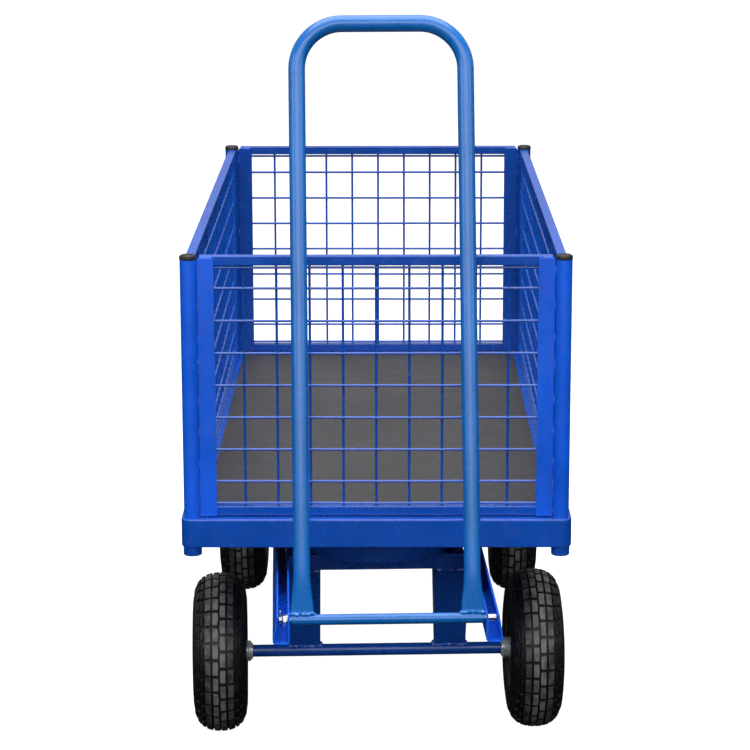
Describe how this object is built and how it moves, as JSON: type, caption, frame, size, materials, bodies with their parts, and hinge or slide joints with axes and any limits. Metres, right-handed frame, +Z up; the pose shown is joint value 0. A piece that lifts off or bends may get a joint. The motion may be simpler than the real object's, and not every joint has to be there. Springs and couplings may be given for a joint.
{
  "type": "turntable platform truck",
  "caption": "Steerable flatbed truck with a turntable bogie, tubular draw handle, pneumatic wheels and lift-out mesh panels around an anti-slip deck.",
  "frame": {"origin": "on the ground, under the middle of the resting truck's bounding box", "axes": "+X to the right seen from the draw handle, +Y from the draw handle towards the rear, +Z up"},
  "size_m": [0.609, 1.43, 1.1873],
  "materials": {
    "blue_paint": "semi-gloss powder coat",
    "navy_paint": "semi-gloss powder coat",
    "handle_paint": "semi-gloss powder coat",
    "deck_coating": "ribbed anti-slip film on board",
    "tyre_rubber": "matte block tread",
    "rim_paint": "satin",
    "zinc_hardware": "zinc plated",
    "black_plastic": "moulded"
  },
  "bodies": {
    "deck": {"crossmember_front_1": "navy_paint", "crossmember_front_2": "navy_paint", "crossmember_rear_1": "navy_paint", "crossmember_rear_2": "navy_paint", "deck_board": "deck_coating", "deck_frame": "blue_paint", "rear_axle": "navy_paint", "rear_leg_left": "navy_paint", "rear_leg_right": "navy_paint", "socket_front_left": "navy_paint", "socket_front_right": "navy_paint", "socket_rear_left": "navy_paint", "socket_rear_right": "navy_paint", "turntable_plate": "navy_paint", "turntable_upper_ring": "navy_paint"},
    "bogie": {"bogie_beam_front": "navy_paint", "bogie_beam_rear": "navy_paint", "bogie_leg_left": "navy_paint", "bogie_leg_right": "navy_paint", "draw_arm_left": "blue_paint", "draw_arm_right": "blue_paint", "front_axle": "navy_paint", "king_bolt": "zinc_hardware", "pivot_nut": "zinc_hardware", "pivot_rod": "zinc_hardware", "turntable_lower_ring": "navy_paint"},
    "handle": {"draw_handle": "handle_paint", "handle_cross_tube": "handle_paint"},
    "front_gate": {"front_gate_frame": "blue_paint", "front_gate_mesh": "blue_paint", "front_left_cap": "black_plastic", "front_left_post": "blue_paint", "front_right_cap": "black_plastic", "front_right_post": "blue_paint"},
    "rear_gate": {"rear_gate_frame": "blue_paint", "rear_gate_mesh": "blue_paint", "rear_left_cap": "black_plastic", "rear_left_post": "blue_paint", "rear_right_cap": "black_plastic", "rear_right_post": "blue_paint"},
    "left_side": {"left_side_frame": "blue_paint", "left_side_mesh": "blue_paint"},
    "right_side": {"right_side_frame": "blue_paint", "right_side_mesh": "blue_paint"},
    "wheel_front_left": {"front_left_axle_cap": "black_plastic", "front_left_hub": "zinc_hardware", "front_left_rim": "rim_paint", "front_left_tyre": "tyre_rubber"},
    "wheel_front_right": {"front_right_axle_cap": "black_plastic", "front_right_hub": "zinc_hardware", "front_right_rim": "rim_paint", "front_right_tyre": "tyre_rubber"},
    "wheel_rear_left": {"rear_left_axle_cap": "black_plastic", "rear_left_hub": "zinc_hardware", "rear_left_rim": "rim_paint", "rear_left_tyre": "tyre_rubber"},
    "wheel_rear_right": {"rear_right_axle_cap": "black_plastic", "rear_right_hub": "zinc_hardware", "rear_right_rim": "rim_paint", "rear_right_tyre": "tyre_rubber"}
  },
  "joints": [
    {"name": "bogie_steer", "type": "hinge", "parent": "deck", "child": "bogie", "pos_m": [0, -0.26402, 0.342], "axis": [0, 0, 1], "range_deg": [-19.3, 14.7]},
    {"name": "handle_swing", "type": "hinge", "parent": "bogie", "child": "handle", "pos_m": [0.01718, -0.69167, 0.324], "axis": [0.9992, 0.0401, 0], "range_deg": [0, 124]},
    {"name": "front_left_wheel_spin", "type": "hinge", "parent": "bogie", "child": "wheel_front_left", "pos_m": [-0.25729, -0.27435, 0.13], "axis": [0.9992, 0.0401, 0], "continuous": true},
    {"name": "front_right_wheel_spin", "type": "hinge", "parent": "bogie", "child": "wheel_front_right", "pos_m": [0.25729, -0.25368, 0.13], "axis": [0.9992, 0.0401, 0], "continuous": true},
    {"name": "rear_left_wheel_spin", "type": "hinge", "parent": "deck", "child": "wheel_rear_left", "pos_m": [-0.2575, 0.48898, 0.13], "axis": [1, 0, 0], "continuous": true},
    {"name": "rear_right_wheel_spin", "type": "hinge", "parent": "deck", "child": "wheel_rear_right", "pos_m": [0.2575, 0.48898, 0.13], "axis": [1, 0, 0], "continuous": true},
    {"name": "front_gate_lift", "type": "slide", "parent": "deck", "child": "front_gate", "axis": [0, 0, 1], "range_m": [0, 0.15]},
    {"name": "rear_gate_lift", "type": "slide", "parent": "deck", "child": "rear_gate", "axis": [0, 0, 1], "range_m": [0, 0.45]},
    {"name": "left_side_lift", "type": "slide", "parent": "deck", "child": "left_side", "axis": [0, 0, 1], "range_m": [0, 0.45]},
    {"name": "right_side_lift", "type": "slide", "parent": "deck", "child": "right_side", "axis": [0, 0, 1], "range_m": [0, 0.45]}
  ]
}
